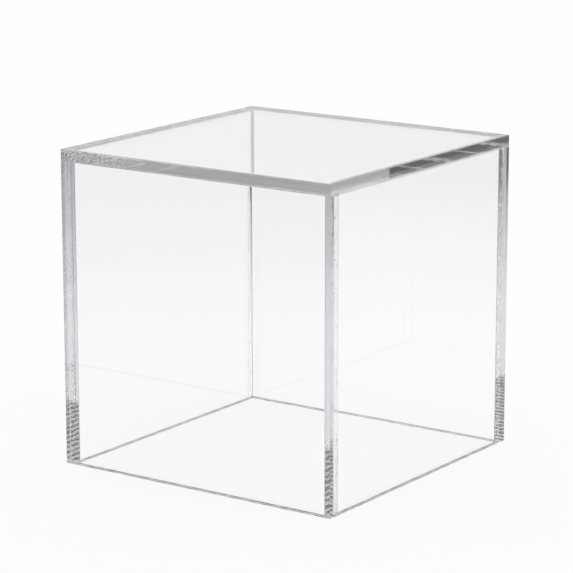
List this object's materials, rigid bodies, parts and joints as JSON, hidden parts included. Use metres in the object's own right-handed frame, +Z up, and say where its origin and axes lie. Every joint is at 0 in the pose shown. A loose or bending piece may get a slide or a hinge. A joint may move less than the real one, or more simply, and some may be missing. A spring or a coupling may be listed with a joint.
{
  "type": "acrylic display cube",
  "caption": "Clear acrylic display cube, closed on top and open underneath, that stands over a small exhibit or serves as a see-through plinth.",
  "frame": {"origin": "on the table, under the middle of the cube", "axes": "+Z up, the front wall faces -Y and the right wall faces +X"},
  "size_m": [0.127, 0.127, 0.127],
  "materials": {
    "clear_acrylic": "clear cast acrylic sheet, faces as cast, cut edges polished and lightly eased",
    "clear_cement": "clear acrylic cement, cured, with a few fine bubbles"
  },
  "bodies": {
    "root": {"top_panel": "clear_acrylic", "front_panel": "clear_acrylic", "back_panel": "clear_acrylic", "left_panel": "clear_acrylic", "right_panel": "clear_acrylic", "top_cement_front": "clear_cement", "top_cement_back": "clear_cement", "top_cement_left": "clear_cement", "top_cement_right": "clear_cement", "corner_cement_front_left": "clear_cement", "corner_cement_front_right": "clear_cement", "corner_cement_back_left": "clear_cement", "corner_cement_back_right": "clear_cement"}
  },
  "joints": []
}
